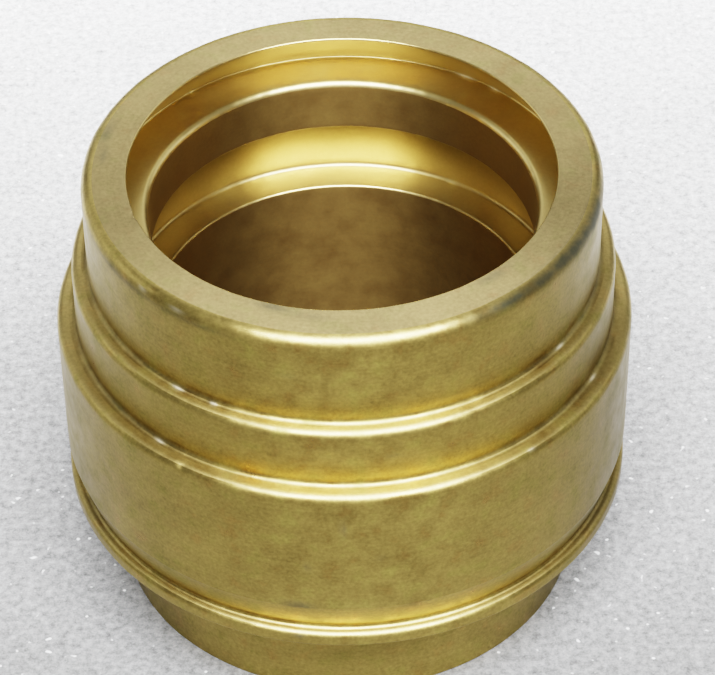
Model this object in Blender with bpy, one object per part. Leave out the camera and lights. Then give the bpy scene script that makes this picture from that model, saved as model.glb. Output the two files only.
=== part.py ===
"""Bronze sleeve bushing, turned from one solid bar.

The bushing stands on its small end. Z is the turning axis, and the origin is the centre of the
bottom face. Outside, from the top down, it has a collar, a step, the main body, a tapered relief,
a narrow ring and a nose. Inside, it has an undercut recess at the mouth, and a straight bore with
one wide groove. All lengths are in millimetres until MM turns them into metres.
"""

import math

import bpy
from mathutils import Vector

MM = 0.001
TURNING_STEPS = 72

# Outside diameters
COLLAR_DIAMETER = 80.0
STEP_DIAMETER = 85.0
BODY_DIAMETER = 91.0
RELIEF_DIAMETER = 87.3
RING_DIAMETER = 91.0
NOSE_DIAMETER = 75.0

# Inside diameters
RIM_DIAMETER = 65.4
RECESS_DIAMETER = 74.8
BORE_DIAMETER = 60.0
GROOVE_DIAMETER = 71.2

# Lengths of the outside sections, from the bottom face up
NOSE_LENGTH = 18.9
RING_LENGTH = 2.4
RELIEF_LENGTH = 5.9
BODY_LENGTH = 23.6
STEP_LENGTH = 10.3
COLLAR_LENGTH = 15.9

# Inside depths, measured down from the top face
RECESS_DEPTH = 6.7
GROOVE_TOP_DEPTH = 15.6
GROOVE_BOTTOM_DEPTH = 28.0

# Corner radii
COLLAR_EDGE_RADIUS = 1.8
SHOULDER_EDGE_RADIUS = 1.2
SHOULDER_FILLET_RADIUS = 0.8
RING_EDGE_RADIUS = 0.9
RELIEF_FILLET_RADIUS = 0.6
GROOVE_FILLET_RADIUS = 0.8
RECESS_FILLET_RADIUS = 1.0
BORE_MOUTH_RADIUS = 1.0
BORE_EDGE_RADIUS = 0.4
SHARP_EDGE_BREAK = 0.25
END_CHAMFER = 1.0

# Straight pieces in each corner's arc
WIDE_ARC_STEPS = 4
ARC_STEPS = 2
BREAK_STEPS = 1

BRONZE_COLOUR = (0.42, 0.31, 0.11, 1.0)
BRONZE_ROUGHNESS = 0.32


def remove_objects():
    """Empty the scene."""
    for existing in list(bpy.data.objects):
        bpy.data.objects.remove(existing, do_unlink=True)


def round_corner(before, corner, after, radius, steps):
    """Return the points of an arc that is tangent to both sides of a corner."""
    to_before = (before - corner).normalized()
    to_after = (after - corner).normalized()
    half_angle = to_before.angle(to_after) / 2.0
    tangent_length = radius / math.tan(half_angle)
    start = corner + to_before * tangent_length
    centre = corner + (to_before + to_after).normalized() * radius / math.sin(half_angle)
    first_spoke = start - centre
    sweep = math.pi - 2.0 * half_angle
    turns_left = to_before.x * to_after.y - to_before.y * to_after.x < 0.0
    direction = 1.0 if turns_left else -1.0
    points = []
    for index in range(steps + 1):
        angle = direction * sweep * index / steps
        cosine, sine = math.cos(angle), math.sin(angle)
        spoke = Vector((
            first_spoke.x * cosine - first_spoke.y * sine,
            first_spoke.x * sine + first_spoke.y * cosine,
        ))
        points.append(centre + spoke)
    return points


def sleeve_corners():
    """List the turned outline's corners as radius, height, corner radius and arc steps."""
    ring_bottom = NOSE_LENGTH
    ring_top = ring_bottom + RING_LENGTH
    body_bottom = ring_top + RELIEF_LENGTH
    body_top = body_bottom + BODY_LENGTH
    step_top = body_top + STEP_LENGTH
    top = step_top + COLLAR_LENGTH
    bore = BORE_DIAMETER / 2.0

    outside = [
        (COLLAR_DIAMETER / 2.0, top, COLLAR_EDGE_RADIUS, WIDE_ARC_STEPS),
        (COLLAR_DIAMETER / 2.0, step_top, SHOULDER_FILLET_RADIUS, ARC_STEPS),
        (STEP_DIAMETER / 2.0, step_top, SHOULDER_EDGE_RADIUS, WIDE_ARC_STEPS),
        (STEP_DIAMETER / 2.0, body_top, SHOULDER_FILLET_RADIUS, ARC_STEPS),
        (BODY_DIAMETER / 2.0, body_top, SHOULDER_EDGE_RADIUS, WIDE_ARC_STEPS),
        (BODY_DIAMETER / 2.0, body_bottom, SHARP_EDGE_BREAK, BREAK_STEPS),
        (RELIEF_DIAMETER / 2.0, ring_top, RELIEF_FILLET_RADIUS, ARC_STEPS),
        (RING_DIAMETER / 2.0, ring_top, RING_EDGE_RADIUS, ARC_STEPS),
        (RING_DIAMETER / 2.0, ring_bottom, SHARP_EDGE_BREAK, BREAK_STEPS),
        (NOSE_DIAMETER / 2.0, ring_bottom, SHOULDER_FILLET_RADIUS, ARC_STEPS),
        (NOSE_DIAMETER / 2.0, 0.0, SHARP_EDGE_BREAK, BREAK_STEPS),
    ]
    inside = [
        (bore, 0.0, END_CHAMFER, BREAK_STEPS),
        (bore, top - GROOVE_BOTTOM_DEPTH, BORE_EDGE_RADIUS, ARC_STEPS),
        (GROOVE_DIAMETER / 2.0, top - GROOVE_BOTTOM_DEPTH, GROOVE_FILLET_RADIUS, ARC_STEPS),
        (GROOVE_DIAMETER / 2.0, top - GROOVE_TOP_DEPTH, GROOVE_FILLET_RADIUS, ARC_STEPS),
        (bore, top - GROOVE_TOP_DEPTH, SHARP_EDGE_BREAK, BREAK_STEPS),
        (bore, top - RECESS_DEPTH, BORE_MOUTH_RADIUS, ARC_STEPS),
        (RECESS_DIAMETER / 2.0, top - RECESS_DEPTH, RECESS_FILLET_RADIUS, ARC_STEPS),
        (RIM_DIAMETER / 2.0, top, SHARP_EDGE_BREAK, BREAK_STEPS),
    ]
    return outside + inside


def rounded_outline(corners):
    """Turn a closed list of corners into outline points with every corner rounded."""
    places = [Vector((radius, height)) for radius, height, _, _ in corners]
    outline = []
    for index, (_, _, corner_radius, steps) in enumerate(corners):
        before = places[index - 1]
        after = places[(index + 1) % len(places)]
        outline += round_corner(before, places[index], after, corner_radius, steps)
    return outline


def turned_object(name, outline):
    """Turn a closed outline, given as radius and height, once around Z."""
    points = [(radius * MM, 0.0, height * MM) for radius, height in outline]
    edges = [(index, (index + 1) % len(points)) for index in range(len(points))]
    mesh = bpy.data.meshes.new(name)
    mesh.from_pydata(points, edges, [])
    turned = bpy.data.objects.new(name, mesh)
    bpy.context.scene.collection.objects.link(turned)

    screw = turned.modifiers.new("Turning", "SCREW")
    screw.axis = "Z"
    screw.angle = 2.0 * math.pi
    screw.steps = TURNING_STEPS
    screw.render_steps = TURNING_STEPS
    screw.use_merge_vertices = True
    screw.merge_threshold = 0.00001
    screw.use_smooth_shade = True
    return turned


def bronze_material():
    """Satin machined bronze."""
    material = bpy.data.materials.new("bronze")
    material.use_nodes = True
    shader = material.node_tree.nodes["Principled BSDF"]
    shader.inputs["Base Color"].default_value = BRONZE_COLOUR
    shader.inputs["Metallic"].default_value = 1.0
    shader.inputs["Roughness"].default_value = BRONZE_ROUGHNESS
    return material


def build_sleeve():
    """The whole bushing is one turned piece."""
    outline = rounded_outline(sleeve_corners())
    sleeve = turned_object("sleeve", outline)
    sleeve.data.materials.append(bronze_material())
    return sleeve


remove_objects()
build_sleeve()
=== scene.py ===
"""Looks of the bronze sleeve bushing: a finely turned mesh, machined bronze, floor, lights, camera.

The outline repeats the CAD part's corners with finer arcs. Lengths of the bushing are in
millimetres until MM turns them into metres; everything else is in metres.
"""
import math

import bpy
import numpy as np
from mathutils import Matrix, Vector


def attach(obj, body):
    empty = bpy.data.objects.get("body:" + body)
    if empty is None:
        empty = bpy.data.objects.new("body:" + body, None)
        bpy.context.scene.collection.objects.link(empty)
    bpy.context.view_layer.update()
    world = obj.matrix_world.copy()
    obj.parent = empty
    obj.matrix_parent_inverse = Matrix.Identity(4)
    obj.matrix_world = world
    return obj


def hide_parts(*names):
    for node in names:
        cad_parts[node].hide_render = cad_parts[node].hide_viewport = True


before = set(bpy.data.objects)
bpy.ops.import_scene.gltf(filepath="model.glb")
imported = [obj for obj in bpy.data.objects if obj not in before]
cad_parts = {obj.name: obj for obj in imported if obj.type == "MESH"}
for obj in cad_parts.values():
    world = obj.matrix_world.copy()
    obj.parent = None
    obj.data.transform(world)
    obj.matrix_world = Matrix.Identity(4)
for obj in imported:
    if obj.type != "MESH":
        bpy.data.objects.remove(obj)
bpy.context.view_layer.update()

MM = 0.001

# The bushing's outline, the same driving dimensions as the CAD part
COLLAR_DIAMETER = 80.0
STEP_DIAMETER = 85.0
BODY_DIAMETER = 91.0
RELIEF_DIAMETER = 87.3
RING_DIAMETER = 91.0
NOSE_DIAMETER = 75.0
RIM_DIAMETER = 65.4
RECESS_DIAMETER = 74.8
BORE_DIAMETER = 60.0
GROOVE_DIAMETER = 71.2
NOSE_LENGTH = 18.9
RING_LENGTH = 2.4
RELIEF_LENGTH = 5.9
BODY_LENGTH = 23.6
STEP_LENGTH = 10.3
COLLAR_LENGTH = 15.9
RECESS_DEPTH = 6.7
GROOVE_TOP_DEPTH = 15.6
GROOVE_BOTTOM_DEPTH = 28.0
COLLAR_EDGE_RADIUS = 1.8
SHOULDER_EDGE_RADIUS = 1.2
SHOULDER_FILLET_RADIUS = 0.8
RING_EDGE_RADIUS = 0.9
RELIEF_FILLET_RADIUS = 0.6
GROOVE_FILLET_RADIUS = 0.8
RECESS_FILLET_RADIUS = 0.2
BORE_MOUTH_RADIUS = 1.0
BORE_EDGE_RADIUS = 0.4
SHARP_EDGE_BREAK = 0.25
END_CHAMFER = 1.0

TOP = NOSE_LENGTH + RING_LENGTH + RELIEF_LENGTH + BODY_LENGTH + STEP_LENGTH + COLLAR_LENGTH

# Fineness of the turned mesh: steps round the axis, steps in each corner's arc, and the longest
# piece of a straight run
SEGMENTS = 480
ARC_STEPS = 8
LONGEST_RUN = 0.8

# Surface regions, by the cut that made them
TURNED, FACED, BORED, GROOVED, SHOULDERS = range(5)

# A face this near to a height or a radius counts as lying on it
ON_SURFACE = 0.01
# A shoulder's face looks up at least this much, where 1 is straight up
SHOULDER_SLOPE = 0.8
# Beside the inner groove, a face inside this radius belongs to the groove
GROOVE_SIDE_RADIUS = RECESS_DIAMETER / 2.0 - 1.0

# Marks on the surface: degrees from the front towards +X, radius and height of the centre,
# half the length round the axis, half the width across it, and strength. Stains colour the metal,
# and some of them are painted shade and painted dark reflections. The list after the stains is all
# painted light and shade: it darkens the metal where its strength is above nought and lightens it
# where it is below. The strength of a nick is its depth, and burrs stand up by BURR_HEIGHT times
# it.
STAINS_AND_PAINTED_SHADE = [
    # Painted dark reflection on the collar's rounded top edge, at the right
    (52.0, 39.2, 76.3, 14.0, 1.0, 1.1),
    (74.0, 39.6, 75.8, 9.0, 1.0, 0.9),
    (33.0, 39.3, 76.3, 6.0, 0.6, 0.5),
    (-55.0, 39.9, 75.3, 8.0, 0.7, 0.7),
    (-34.0, 39.9, 75.3, 6.0, 0.5, 0.5),
    (-105.0, 37.6, 77.0, 3.0, 1.0, 0.5),
    (-96.0, 36.8, 77.0, 2.0, 0.7, 0.5),
    (-18.0, 33.6, 77.0, 2.6, 0.9, 0.7),
    (-8.0, 34.6, 77.0, 3.0, 0.8, 0.35),
    (40.0, 34.0, 77.0, 3.0, 0.9, 0.5),
    (-10.0, 45.5, 27.5, 2.4, 0.7, 0.9),
    (-10.0, 45.4, 20.6, 1.0, 0.5, 0.8),
    (-1.0, 45.5, 44.5, 0.5, 1.6, 0.6),
    (-8.0, 45.5, 36.0, 0.6, 1.0, 0.45),
    (6.0, 45.5, 38.0, 0.9, 0.5, 0.35),
    (-12.0, 40.0, 70.0, 1.6, 0.4, 0.4),
    (9.0, 42.5, 56.0, 1.5, 0.35, 0.35),
    # Painted shade in the shoulder fillets at the sides
    (55.0, 40.1, 61.3, 16.0, 0.35, 0.6),
    (-55.0, 40.1, 61.3, 16.0, 0.35, 0.5),
    (50.0, 42.6, 51.0, 14.0, 0.35, 0.6),
    (-52.0, 42.6, 51.0, 16.0, 0.35, 0.6),
    # Painted dark reflection on the relief at the sides
    (64.0, 44.2, 23.5, 7.0, 2.4, 0.7),
    (-66.0, 44.2, 23.5, 7.0, 2.4, 0.7),
]
PAINTED_SHADING = [
    # Painted shade on the walls at both sides, and painted light a little to each side of the
    # front, over the whole height
    (72.0, 43.0, 38.0, 17.0, 60.0, 0.5),
    (-74.0, 43.0, 38.0, 19.0, 60.0, 0.3),
    (28.0, 43.0, 38.0, 13.0, 60.0, -0.14),
    (-34.0, 43.0, 38.0, 11.0, 60.0, -0.10),
    # Painted shade on the front walls just above the two shoulders
    (0.0, 40.0, 63.2, 20.0, 1.6, 0.28),
    (0.0, 42.5, 53.0, 20.0, 1.4, 0.25),
]
NICKS = [
    (-71.0, 33.0, 77.0, 0.7, 0.5, 0.35),
    (-139.0, 37.0, 70.5, 0.6, 0.5, 0.2),
    (-33.0, 45.2, 50.4, 0.7, 0.5, 0.2),
    (12.0, 45.4, 27.3, 0.6, 0.4, 0.15),
]
# Burrs are also painted pale, partly as worn metal and partly as a painted glint
BURRS = [
    (53.0, 40.4, 61.3, 0.8, 0.22, 0.6),
    (38.0, 44.9, 50.5, 0.6, 0.22, 0.6),
    (62.0, 43.0, 51.0, 0.8, 0.22, 0.6),
    (-38.0, 40.5, 61.2, 0.9, 0.25, 1.0),
    (-29.0, 40.5, 61.2, 0.5, 0.25, 0.9),
    (-41.0, 43.0, 51.0, 0.8, 0.25, 0.9),
    (-48.0, 39.9, 76.2, 0.8, 0.25, 0.7),
    (-38.0, 39.9, 76.2, 1.2, 0.25, 0.8),
    (147.0, 37.3, 70.4, 1.4, 0.35, 1.2),
    (138.0, 37.3, 70.4, 0.9, 0.35, 1.0),
]
BURR_HEIGHT = 0.08

# How far rounded edges and fillets waver, and the waves that add up to it
EDGE_WAVER = 0.02
WAVER_CYCLES = (9, 17, 31, 53, 88)
WAVER_SEED = 11

# Finish of each region, in the order of the region numbers: name, colour, colour where it faces up,
# roughness, anisotropy, how mottled it is and how much painted shade darkens its fillets. The
# colour where it faces up is painted light and shade by facing; the bored colour is darkened
# with painted shade and the grooved colour is lightened with painted light.
FINISHES = [
    ("turned_bronze", (0.335, 0.253, 0.085), (0.36, 0.275, 0.10), 0.35, 0.7, 0.5, 0.4),
    ("faced_bronze", (0.235, 0.187, 0.092), (0.235, 0.187, 0.092), 0.74, 0.2, 0.4, 0.0),
    ("bored_bronze_painted_shade", (0.28, 0.185, 0.070), (0.28, 0.185, 0.070), 0.42, 0.7, 0.16, 0.0),
    ("grooved_bronze_painted_light", (0.58, 0.46, 0.23), (0.46, 0.35, 0.14), 0.32, 0.7, 0.12, 0.0),
    ("shoulder_bronze", (0.36, 0.275, 0.10), (0.36, 0.275, 0.11), 0.42, 0.45, 0.4, 0.4),
]
# Painted shade in the fillets
FILLET_SHADE_COLOUR = (0.05, 0.032, 0.012)
# Colour of the stains and of the painted shade and dark reflections among them
STAIN_AND_SHADE_COLOUR = (0.055, 0.06, 0.05)
# Pale colour of the burrs, partly worn metal and partly a painted glint
BURR_GLINT_COLOUR = (0.9, 0.82, 0.62)
OLIVE_TINT = (0.80, 0.92, 0.80)
WARM_TINT = (1.10, 0.93, 0.92)

# Noises of the bronze, as scale, detail and roughness. Turning marks are noise that is finer
# along the outline than round it.
BLOTCHES = (120.0, 4.0, 0.62)
TINTS = (260.0, 3.0, 0.6)
GRAIN = (1900.0, 2.0, 0.6)
MARKS = (1.6, 4.0, 0.75)
MARKS_ROUND = 30.0

# How much each noise changes a finish whose mottling is 1
BLOTCH_SHADE = 1.1
MARK_SHADE = 0.7
GRAIN_SHADE = 1.5
TINT_SHARE = 1.2
TINT_ROUGHNESS = 0.7
# Where on a value's scale each of these starts and is full: the two tints, fillets and the patches
# of painted shade in them
OLIVE_RANGE = (0.50, 0.72)
WARM_RANGE = (0.46, 0.28)
FILLET_RANGE = (-0.15, -0.9)
FILLET_SHADE_PATCHES = (0.40, 0.62)
# Stains and the painted shade among them: the least of one that shows, how much the tints vary it,
# and its effect
STAIN_AND_SHADE_LEAST = 0.35
STAIN_AND_SHADE_VARIES = 1.2
STAIN_AND_SHADE_OPACITY = 0.85
STAIN_AND_SHADE_ROUGHNESS = 0.15
# Share of the grain in the bump, and the bump's depth
GRAIN_RELIEF = 0.6
MARK_DEPTH = 0.000004
# The anisotropy is turned by a quarter, from along the turning marks to across them
ANISOTROPIC_ROTATION = 0.25

# Camera
CAMERA_POSITION = Vector((0.0, -0.36411, 0.36868))
CAMERA_TARGET = Vector((0.00201, 0.0, 0.04198))
CAMERA_ROLL = math.radians(-0.82)
CAMERA_LENS = 153.54
SENSOR_WIDTH = 36.0
CLIP_START, CLIP_END = 0.01, 50.0

# Floor: half its width, its albedo at one Y, the length in Y over which that grows e times, its
# limits, and the share that is left under the bushing. The growth in Y is painted shade that
# deepens towards the front, and the share under the bushing is a painted shadow.
FLOOR_HALF = 1.5
FLOOR_ALBEDO = 0.15
FLOOR_ALBEDO_AT = -0.03
FLOOR_FADE = 0.125
FLOOR_DARKEST = 0.075
FLOOR_PALEST = 0.75
FLOOR_PAINTED_SHADOW = 0.04
# Red and green of the floor, as shares of its blue
FLOOR_TINT = (0.985, 0.99)
FLOOR_ROUGHNESS = 0.9
# The painted shadow under the bushing fades out between these distances inside the nose's edge
SHADOW_STARTS, SHADOW_ENDS = 0.004, 0.001

# Noises of the foam, as scale, detail and roughness, and how much they change it
CELLS = (650.0, 4.0, 0.85)
PATCHES = (60.0, 2.0, 0.5)
SPECKS = (520.0, 1.0, 0.8)
FOAM_GRAIN = 3.0
FOAM_PATCHES = 0.25
# The sparkle is painted glints in the foam's colour
FOAM_PAINTED_GLINT = 0.45
GLINT_STARTS, GLINT_FULL = 0.69, 0.77

# Lamps: name, position, what it points at, width, depth and radiance
LAMPS = [
    ("overhead", (0.10, -0.90, 1.78), (0.0, 0.0, 0.0), 1.7, 0.8, 46.0),
    ("back", (0.0, 0.62, 0.55), (0.0, 0.0, 0.05), 0.8, 0.5, 1.2),
    ("left", (-0.75, 0.30, 0.45), (0.0, 0.0, 0.05), 0.7, 0.5, 1.3),
    ("right", (0.75, 0.30, 0.45), (0.0, 0.0, 0.05), 0.7, 0.5, 1.3),
]
ROOM_COLOUR = (0.9, 0.95, 1.0)
ROOM_STRENGTH = 0.24


def add_camera():
    """Add a long lens above the front, turned a little about its own axis."""
    data = bpy.data.cameras.new("camera")
    data.lens = CAMERA_LENS
    data.sensor_width = SENSOR_WIDTH
    data.clip_start = CLIP_START
    data.clip_end = CLIP_END
    camera = bpy.data.objects.new("camera", data)
    forward = (CAMERA_TARGET - CAMERA_POSITION).normalized()
    level_right = forward.cross(Vector((0.0, 0.0, 1.0))).normalized()
    level_up = level_right.cross(forward)
    right = level_right * math.cos(CAMERA_ROLL) + level_up * math.sin(CAMERA_ROLL)
    up = right.cross(forward)
    rotation = Matrix((right, up, -forward)).transposed().to_4x4()
    camera.matrix_world = Matrix.Translation(CAMERA_POSITION) @ rotation
    bpy.context.scene.collection.objects.link(camera)
    bpy.context.scene.camera = camera


def sleeve_corners():
    """Return the corners as radius, height and corner radius, down outside and up inside."""
    ring_bottom = NOSE_LENGTH
    ring_top = ring_bottom + RING_LENGTH
    body_bottom = ring_top + RELIEF_LENGTH
    body_top = body_bottom + BODY_LENGTH
    step_top = body_top + STEP_LENGTH
    bore = BORE_DIAMETER / 2.0
    return [
        (COLLAR_DIAMETER / 2.0, TOP, COLLAR_EDGE_RADIUS),
        (COLLAR_DIAMETER / 2.0, step_top, SHOULDER_FILLET_RADIUS),
        (STEP_DIAMETER / 2.0, step_top, SHOULDER_EDGE_RADIUS),
        (STEP_DIAMETER / 2.0, body_top, SHOULDER_FILLET_RADIUS),
        (BODY_DIAMETER / 2.0, body_top, SHOULDER_EDGE_RADIUS),
        (BODY_DIAMETER / 2.0, body_bottom, SHARP_EDGE_BREAK),
        (RELIEF_DIAMETER / 2.0, ring_top, RELIEF_FILLET_RADIUS),
        (RING_DIAMETER / 2.0, ring_top, RING_EDGE_RADIUS),
        (RING_DIAMETER / 2.0, ring_bottom, SHARP_EDGE_BREAK),
        (NOSE_DIAMETER / 2.0, ring_bottom, SHOULDER_FILLET_RADIUS),
        (NOSE_DIAMETER / 2.0, 0.0, SHARP_EDGE_BREAK),
        (bore, 0.0, END_CHAMFER),
        (bore, TOP - GROOVE_BOTTOM_DEPTH, BORE_EDGE_RADIUS),
        (GROOVE_DIAMETER / 2.0, TOP - GROOVE_BOTTOM_DEPTH, GROOVE_FILLET_RADIUS),
        (GROOVE_DIAMETER / 2.0, TOP - GROOVE_TOP_DEPTH, GROOVE_FILLET_RADIUS),
        (bore, TOP - GROOVE_TOP_DEPTH, SHARP_EDGE_BREAK),
        (bore, TOP - RECESS_DEPTH, BORE_MOUTH_RADIUS),
        (RECESS_DIAMETER / 2.0, TOP - RECESS_DEPTH, RECESS_FILLET_RADIUS),
        (RIM_DIAMETER / 2.0, TOP, SHARP_EDGE_BREAK),
    ]


def round_corner(before, corner, after, radius):
    """Return the points of a corner's arc, and whether the corner sticks out of the metal."""
    to_before = (before - corner).normalized()
    to_after = (after - corner).normalized()
    half_angle = to_before.angle(to_after) / 2.0
    start = corner + to_before * (radius / math.tan(half_angle))
    centre = corner + (to_before + to_after).normalized() * radius / math.sin(half_angle)
    sweep = math.pi - 2.0 * half_angle
    turns_left = to_before.x * to_after.y - to_before.y * to_after.x < 0.0
    spoke = start - centre
    points = []
    for index in range(ARC_STEPS + 1):
        angle = (1.0 if turns_left else -1.0) * sweep * index / ARC_STEPS
        cosine, sine = math.cos(angle), math.sin(angle)
        points.append(centre + Vector((spoke.x * cosine - spoke.y * sine,
                                       spoke.x * sine + spoke.y * cosine)))
    return points, not turns_left


def add_run(points, bends, end):
    """Divide the straight run up to end into pieces no longer than LONGEST_RUN."""
    run = end - points[-1]
    pieces = max(1, math.ceil(run.length / LONGEST_RUN))
    for _ in range(1, pieces):
        points.append(points[-1] + run / pieces)
        bends.append(0.0)


def fine_outline():
    """Return the outline's points and, for each, +1 on a rounded edge, -1 in a fillet, else 0."""
    corners = sleeve_corners()
    places = [Vector((radius, height)) for radius, height, _ in corners]
    points, bends = [], []
    for index, (_, _, corner_radius) in enumerate(corners):
        before = places[index - 1]
        after = places[(index + 1) % len(places)]
        arc, convex = round_corner(before, places[index], after, corner_radius)
        if points:
            add_run(points, bends, arc[0])
        points += arc
        bends += [1.0 if convex else -1.0] * len(arc)
    add_run(points, bends, points[0])
    return np.array([tuple(point) for point in points]), np.array(bends)


def sum_of_marks(marks, azimuth, radii, heights):
    """Add up the marks of one list at every point. Each mark fades out softly from its centre."""
    total = np.zeros_like(azimuth)
    for degrees, radius, height, half_round, half_across, strength in marks:
        turn = (azimuth - math.radians(degrees) + math.pi) % (2.0 * math.pi) - math.pi
        across = (radii - radius) ** 2 + (heights - height) ** 2
        total += strength * np.exp(-((turn * radius / half_round) ** 2) - across / half_across ** 2)
    return total


def wavering(azimuth, heights):
    """Return a smooth, irregular value round each edge, mostly between -1 and 1."""
    waves = np.random.default_rng(WAVER_SEED)
    total = np.zeros_like(azimuth)
    for cycles in WAVER_CYCLES:
        phase, drift = waves.uniform(0.0, 2.0 * math.pi), waves.uniform(0.6, 1.4)
        total += np.sin(cycles * azimuth + phase + drift * heights) * waves.uniform(0.2, 0.4)
    return total


def inward_normals(outline):
    """Return the unit normal into the metal at each point of the outline."""
    travel = np.roll(outline, -1, axis=0) - np.roll(outline, 1, axis=0)
    travel /= np.linalg.norm(travel, axis=1)[:, None]
    return np.stack([travel[:, 1], -travel[:, 0]], axis=-1)


def region_of(radius, height, upward):
    """Return the region of a face from the middle of its stretch of the outline."""
    if height > TOP - ON_SURFACE or height < ON_SURFACE:
        return FACED
    if radius < BORE_DIAMETER / 2.0 + ON_SURFACE:
        return BORED
    if radius > COLLAR_DIAMETER / 2.0 and upward > SHOULDER_SLOPE:
        return SHOULDERS
    beside_groove = TOP - GROOVE_BOTTOM_DEPTH <= height <= TOP - GROOVE_TOP_DEPTH
    in_groove = beside_groove and radius < GROOVE_SIDE_RADIUS
    above_recess_floor = height > TOP - RECESS_DEPTH - ON_SURFACE
    in_recess = above_recess_floor and radius < RECESS_DIAMETER / 2.0
    if in_groove or in_recess or radius < RIM_DIAMETER / 2.0:
        return GROOVED
    return TURNED


def keep_on_points(mesh, label, values):
    """Store one number per point, for the finish to read."""
    layer = mesh.attributes.new(label, "FLOAT", "POINT")
    layer.data.foreach_set("value", np.asarray(values, dtype=np.float32).ravel())


def turned_mesh(name):
    """Turn the fine outline round Z, with the values that the finish needs kept on each point."""
    outline, bends = fine_outline()
    rows = len(outline)
    steps = np.linalg.norm(outline - np.roll(outline, 1, axis=0), axis=1)
    steps[0] = 0.0
    along = np.cumsum(steps)
    angles = np.arange(SEGMENTS) * 2.0 * math.pi / SEGMENTS
    azimuth, radii = np.meshgrid(angles, outline[:, 0], indexing="ij")
    heights = np.tile(outline[:, 1], (SEGMENTS, 1))
    stain_and_shade = sum_of_marks(STAINS_AND_PAINTED_SHADE, azimuth, radii, heights)
    painted_shading = sum_of_marks(PAINTED_SHADING, azimuth, radii, heights)
    wear_and_glint = sum_of_marks(BURRS, azimuth, radii, heights)
    depth = sum_of_marks(NICKS, azimuth, radii, heights) - BURR_HEIGHT * wear_and_glint
    depth += EDGE_WAVER * np.abs(bends) * wavering(azimuth, heights)
    inward = inward_normals(outline)
    radii = radii + depth * inward[:, 0]
    heights = heights + depth * inward[:, 1]
    points = np.stack([radii * np.sin(azimuth), -radii * np.cos(azimuth), heights], axis=-1)
    row = np.arange(rows)
    following = (row + 1) % rows
    faces = []
    for segment in range(SEGMENTS):
        here = segment * rows
        there = (segment + 1) % SEGMENTS * rows
        quads = [here + row, here + following, there + following, there + row]
        faces += np.stack(quads, axis=1).tolist()
    mesh = bpy.data.meshes.new(name)
    mesh.from_pydata((points.reshape(-1, 3) * MM).tolist(), [], faces)
    mesh.shade_smooth()
    keep_on_points(mesh, "along", np.tile(along, SEGMENTS))
    keep_on_points(mesh, "bend", np.tile(bends, SEGMENTS))
    keep_on_points(mesh, "upward", np.tile(np.maximum(-inward[:, 1], 0.0), SEGMENTS))
    keep_on_points(mesh, "stain_and_shade", stain_and_shade)
    keep_on_points(mesh, "wear_and_glint", wear_and_glint)
    keep_on_points(mesh, "painted_shading", painted_shading)
    middles = (outline + outline[following]) / 2.0
    slopes = -(inward[:, 1] + inward[following, 1]) / 2.0
    regions = [region_of(*middle, slope) for middle, slope in zip(middles, slopes)]
    mesh.polygons.foreach_set("material_index", np.tile(regions, SEGMENTS).astype(np.int32))
    return mesh


class Nodes:
    """Short calls that add shader nodes to one material.

    Where a call takes a value, an output of another node is linked and a plain number is set.
    """

    def __init__(self, name):
        self.material = bpy.data.materials.new(name)
        self.material.use_nodes = True
        self.tree = self.material.node_tree
        self.shader = self.tree.nodes["Principled BSDF"]

    def put(self, socket, value):
        if isinstance(value, bpy.types.NodeSocket):
            self.tree.links.new(value, socket)
        else:
            socket.default_value = value

    def math(self, operation, *values, clamp=False):
        node = self.tree.nodes.new("ShaderNodeMath")
        node.operation = operation
        node.use_clamp = clamp
        for socket, value in zip(node.inputs, values):
            self.put(socket, value)
        return node.outputs[0]

    def vary(self, noise, amount, value):
        """Raise or lower a value with a noise. The noise's middle leaves it as it is."""
        return self.math("MULTIPLY_ADD", self.math("SUBTRACT", noise, 0.5), amount, value)

    def attribute(self, label):
        node = self.tree.nodes.new("ShaderNodeAttribute")
        node.attribute_name = label
        return node.outputs["Fac"]

    def position(self):
        return self.tree.nodes.new("ShaderNodeTexCoord").outputs["Object"]

    def split(self, vector):
        node = self.tree.nodes.new("ShaderNodeSeparateXYZ")
        self.put(node.inputs[0], vector)
        return node.outputs

    def vector(self, x, y, z):
        node = self.tree.nodes.new("ShaderNodeCombineXYZ")
        for socket, value in zip(node.inputs, (x, y, z)):
            self.put(socket, value)
        return node.outputs[0]

    def noise(self, vector, scale, detail, roughness):
        node = self.tree.nodes.new("ShaderNodeTexNoise")
        self.put(node.inputs["Vector"], vector)
        node.inputs["Scale"].default_value = scale
        node.inputs["Detail"].default_value = detail
        node.inputs["Roughness"].default_value = roughness
        return node.outputs["Fac"]

    def remap(self, value, low, high, to_low=0.0, to_high=1.0):
        node = self.tree.nodes.new("ShaderNodeMapRange")
        node.interpolation_type = "SMOOTHSTEP"
        for socket, number in zip(node.inputs, (value, low, high, to_low, to_high)):
            self.put(socket, number)
        return node.outputs[0]

    def mix(self, factor, first, second, blend="MIX"):
        node = self.tree.nodes.new("ShaderNodeMix")
        node.data_type = "RGBA"
        node.blend_type = blend
        self.put(node.inputs["Factor"], factor)
        self.put(node.inputs["A"], first)
        self.put(node.inputs["B"], second)
        return node.outputs["Result"]

    def bump(self, height, distance):
        node = self.tree.nodes.new("ShaderNodeBump")
        node.inputs["Strength"].default_value = 1.0
        node.inputs["Distance"].default_value = distance
        self.put(node.inputs["Height"], height)
        return node.outputs["Normal"]

    def around_axis(self):
        """Return the tangent that runs round Z, along the turning marks."""
        node = self.tree.nodes.new("ShaderNodeTangent")
        node.direction_type = "RADIAL"
        node.axis = "Z"
        return node.outputs["Tangent"]


def tinted(colour, factors):
    """Return a colour times one factor per channel, with alpha."""
    return (*(value * factor for value, factor in zip(colour, factors)), 1.0)


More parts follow.
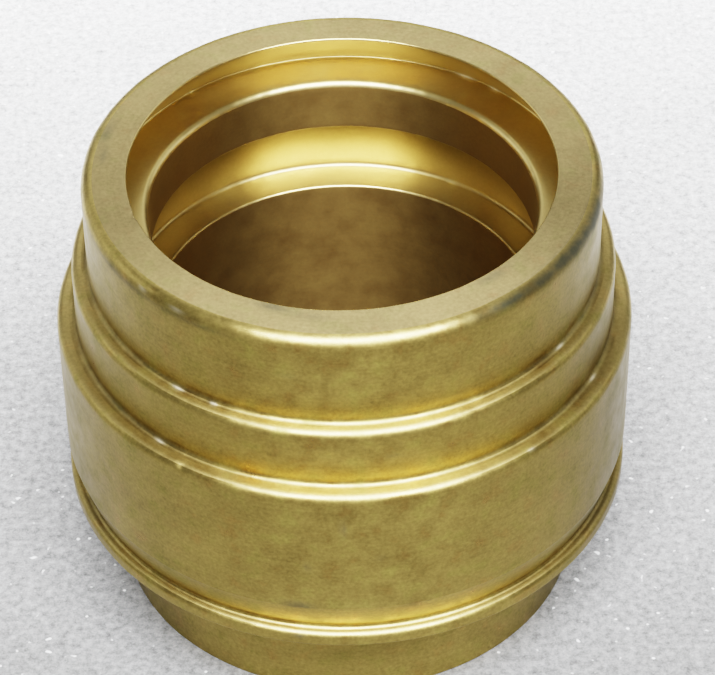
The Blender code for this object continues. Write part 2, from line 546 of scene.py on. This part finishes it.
def bronze(name, colour, up_facing_painted_colour, roughness, anisotropic, mottling, fillet_shade):
    """Machined bronze with turning marks, mottled olive and warm tints, painted light and shade,
    painted shade in the fillets, stains with painted shade among them, and pale burrs that are
    partly painted glints.
    """
    nodes = Nodes(name)
    shader = nodes.shader.inputs
    x, y, _ = nodes.split(nodes.position())
    round_x = nodes.math("MULTIPLY", x, MARKS_ROUND)
    round_y = nodes.math("MULTIPLY", y, MARKS_ROUND)
    blotches = nodes.noise(nodes.position(), *BLOTCHES)
    tints = nodes.noise(nodes.position(), *TINTS)
    grain = nodes.noise(nodes.position(), *GRAIN)
    marks = nodes.noise(nodes.vector(round_x, round_y, nodes.attribute("along")), *MARKS)

    # Painted light and shade by facing: faces that look up take a colour of their own
    base = nodes.mix(nodes.attribute("upward"), (*colour, 1.0), (*up_facing_painted_colour, 1.0))
    olive = nodes.remap(tints, *OLIVE_RANGE, 0.0, TINT_SHARE * mottling)
    base = nodes.mix(olive, base, tinted(colour, OLIVE_TINT))
    warm = nodes.remap(tints, *WARM_RANGE, 0.0, TINT_SHARE * mottling)
    base = nodes.mix(warm, base, tinted(colour, WARM_TINT))

    shade = nodes.vary(blotches, BLOTCH_SHADE * mottling, 1.0)
    shade = nodes.vary(marks, MARK_SHADE * mottling, shade)
    shade = nodes.vary(grain, GRAIN_SHADE * mottling, shade)
    # Painted light and shade from its own list of marks: darker where it is above nought, lighter
    # where below
    painted_shading_factor = nodes.math("SUBTRACT", 1.0, nodes.attribute("painted_shading"))
    shade = nodes.math("MULTIPLY", shade, painted_shading_factor)
    base = nodes.mix(1.0, base, nodes.vector(shade, shade, shade), "MULTIPLY")

    # Painted shade in the fillets, in patches
    fillet = nodes.remap(nodes.attribute("bend"), *FILLET_RANGE)
    patchy_fillet_shade = nodes.math("MULTIPLY", nodes.remap(blotches, *FILLET_SHADE_PATCHES), fillet_shade)
    base = nodes.mix(nodes.math("MULTIPLY", fillet, patchy_fillet_shade), base, (*FILLET_SHADE_COLOUR, 1.0))
    # Stains, with painted shade and dark reflections among them
    uneven = nodes.math("MULTIPLY_ADD", tints, STAIN_AND_SHADE_VARIES, STAIN_AND_SHADE_LEAST)
    stain_and_shade = nodes.math("MULTIPLY", nodes.attribute("stain_and_shade"), uneven, clamp=True)
    base = nodes.mix(nodes.math("MULTIPLY", stain_and_shade, STAIN_AND_SHADE_OPACITY), base, (*STAIN_AND_SHADE_COLOUR, 1.0))
    # Burrs painted pale, partly worn metal and partly a painted glint
    wear_and_glint = nodes.math("MULTIPLY", nodes.attribute("wear_and_glint"), 1.0, clamp=True)
    base = nodes.mix(wear_and_glint, base, (*BURR_GLINT_COLOUR, 1.0))
    nodes.put(shader["Base Color"], base)

    rough = nodes.vary(tints, TINT_ROUGHNESS * mottling, roughness)
    rough = nodes.math("MULTIPLY_ADD", stain_and_shade, STAIN_AND_SHADE_ROUGHNESS, rough, clamp=True)
    nodes.put(shader["Roughness"], rough)
    shader["Metallic"].default_value = 1.0
    shader["Anisotropic"].default_value = anisotropic
    shader["Anisotropic Rotation"].default_value = ANISOTROPIC_ROTATION
    nodes.put(shader["Tangent"], nodes.around_axis())
    relief = nodes.math("MULTIPLY_ADD", grain, GRAIN_RELIEF, marks)
    nodes.put(shader["Normal"], nodes.bump(relief, MARK_DEPTH))
    return nodes.material


def add_sleeve():
    """Add the bushing on the root body, in place of the CAD's node."""
    mesh = turned_mesh("bushing")
    bushing = bpy.data.objects.new("bushing", mesh)
    bpy.context.scene.collection.objects.link(bushing)
    for finish in FINISHES:
        mesh.materials.append(bronze(*finish))
    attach(bushing, "root")
    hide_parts("sleeve")


def foam():
    """Pale foam with painted shade that deepens towards the front, a painted shadow where the
    bushing stands on it, and painted glints.
    """
    nodes = Nodes("foam")
    x, y, _ = nodes.split(nodes.position())
    # Painted shade that deepens towards the front
    fade = nodes.math("EXPONENT", nodes.math("DIVIDE", y, FLOOR_FADE))
    at_axis = FLOOR_ALBEDO * math.exp(-FLOOR_ALBEDO_AT / FLOOR_FADE)
    albedo = nodes.math("MULTIPLY", fade, at_axis)
    albedo = nodes.math("MINIMUM", nodes.math("MAXIMUM", albedo, FLOOR_DARKEST), FLOOR_PALEST)

    # Painted shadow under the bushing
    squares = nodes.math("ADD", nodes.math("MULTIPLY", x, x), nodes.math("MULTIPLY", y, y))
    radius = nodes.math("SQRT", squares)
    nose = NOSE_DIAMETER / 2.0 * MM
    painted_shadow = nodes.remap(radius, nose - SHADOW_STARTS, nose - SHADOW_ENDS, FLOOR_PAINTED_SHADOW, 1.0)
    albedo = nodes.math("MULTIPLY", albedo, painted_shadow)

    uneven = nodes.vary(nodes.noise(nodes.position(), *CELLS), FOAM_GRAIN, 1.0)
    uneven = nodes.vary(nodes.noise(nodes.position(), *PATCHES), FOAM_PATCHES, uneven)
    # Painted glints in the foam's colour
    specks = nodes.noise(nodes.position(), *SPECKS)
    painted_glint = nodes.remap(specks, GLINT_STARTS, GLINT_FULL, 0.0, FOAM_PAINTED_GLINT)
    albedo = nodes.math("ADD", nodes.math("MULTIPLY", albedo, uneven), painted_glint)
    red, green = (nodes.math("MULTIPLY", albedo, tint) for tint in FLOOR_TINT)
    nodes.put(nodes.shader.inputs["Base Color"], nodes.vector(red, green, albedo))
    nodes.shader.inputs["Roughness"].default_value = FLOOR_ROUGHNESS
    return nodes.material


def add_floor():
    """Add a wide sheet for the bushing to stand on."""
    low, high = -FLOOR_HALF, FLOOR_HALF
    corners = [(low, low, 0.0), (high, low, 0.0), (high, high, 0.0), (low, high, 0.0)]
    mesh = bpy.data.meshes.new("floor")
    mesh.from_pydata(corners, [], [(0, 1, 2, 3)])
    mesh.materials.append(foam())
    floor = bpy.data.objects.new("floor", mesh)
    bpy.context.scene.collection.objects.link(floor)


def add_lamp(name, position, target, width, depth, radiance):
    """Add a rectangular lamp. Its power follows from its radiance and its area."""
    data = bpy.data.lights.new(name, "AREA")
    data.shape = "RECTANGLE"
    data.size = width
    data.size_y = depth
    data.energy = radiance * math.pi * width * depth
    lamp = bpy.data.objects.new(name, data)
    lamp.location = position
    lamp.rotation_euler = (Vector(target) - Vector(position)).to_track_quat("-Z", "Y").to_euler()
    lamp.visible_camera = False
    bpy.context.scene.collection.objects.link(lamp)


def add_lights():
    """Add the lamps and the dim light of the room."""
    for lamp in LAMPS:
        add_lamp(*lamp)
    world = bpy.data.worlds.new("room")
    world.use_nodes = True
    background = world.node_tree.nodes["Background"]
    background.inputs["Color"].default_value = (*ROOM_COLOUR, 1.0)
    background.inputs["Strength"].default_value = ROOM_STRENGTH
    bpy.context.scene.world = world


add_camera()
add_sleeve()
add_floor()
add_lights()
bpy.context.scene.view_settings.view_transform = "Filmic"
bpy.context.scene.view_settings.look = "High Contrast"
